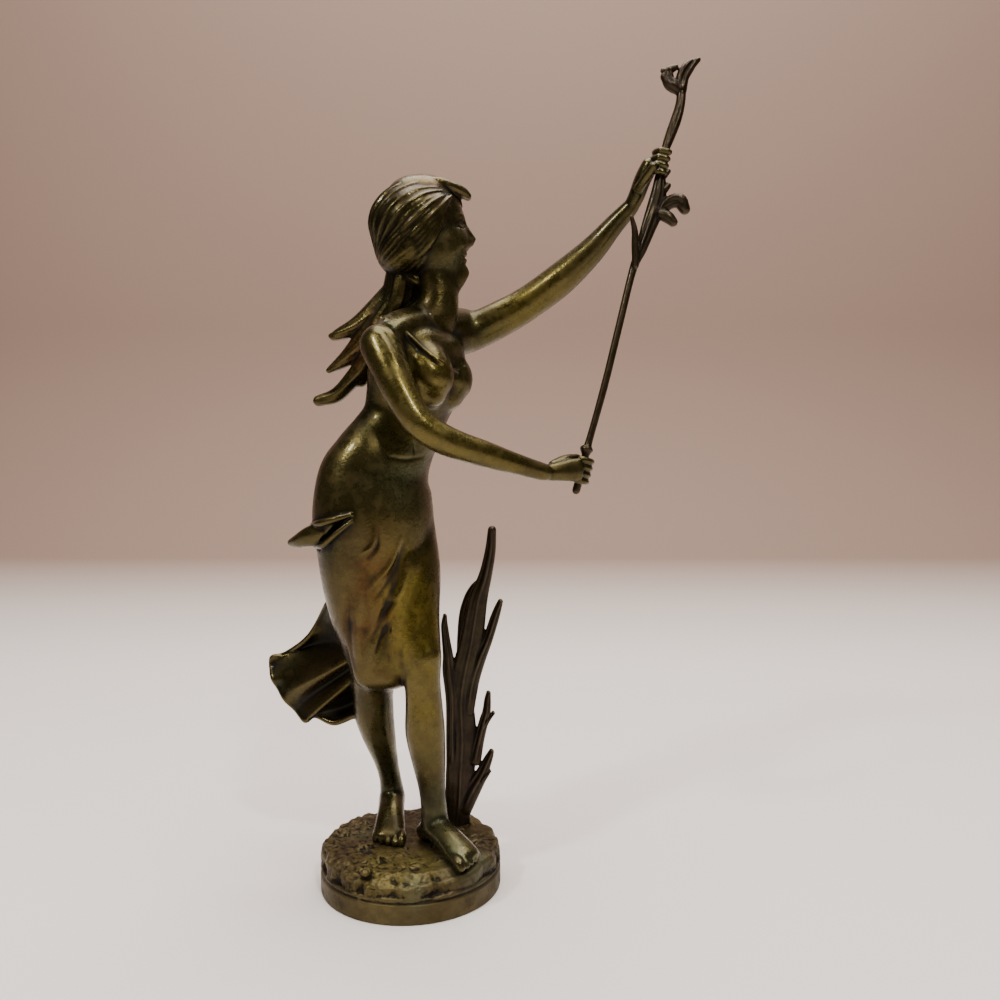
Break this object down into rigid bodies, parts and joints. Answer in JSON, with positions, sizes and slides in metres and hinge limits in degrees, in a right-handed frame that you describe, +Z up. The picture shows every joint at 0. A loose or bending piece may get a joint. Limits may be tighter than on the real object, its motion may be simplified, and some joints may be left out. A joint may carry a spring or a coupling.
{
  "type": "bronze statue",
  "caption": "Cast bronze statuette of a striding young woman who holds up a flowering iris stalk, on a round base with leaves.",
  "frame": {"origin": "centre of the base's flat underside", "axes": "+Z up, +X towards the side that the flower stalk leans to, -Y towards the front of the base"},
  "size_m": [0.3307, 0.1396, 0.6225],
  "materials": {
    "figure_bronze": "waxed bronze, olive and green patina with rust brown in the folds",
    "ground_bronze": "satin bronze, mottled brown and olive patina",
    "stalk_bronze": "dark brown patina",
    "leaf_bronze": "dark brown patina"
  },
  "bodies": {
    "root": {"round_base": "ground_bronze", "female_figure": "figure_bronze", "flower_stalk": "stalk_bronze", "iris_leaves": "leaf_bronze"}
  },
  "joints": []
}
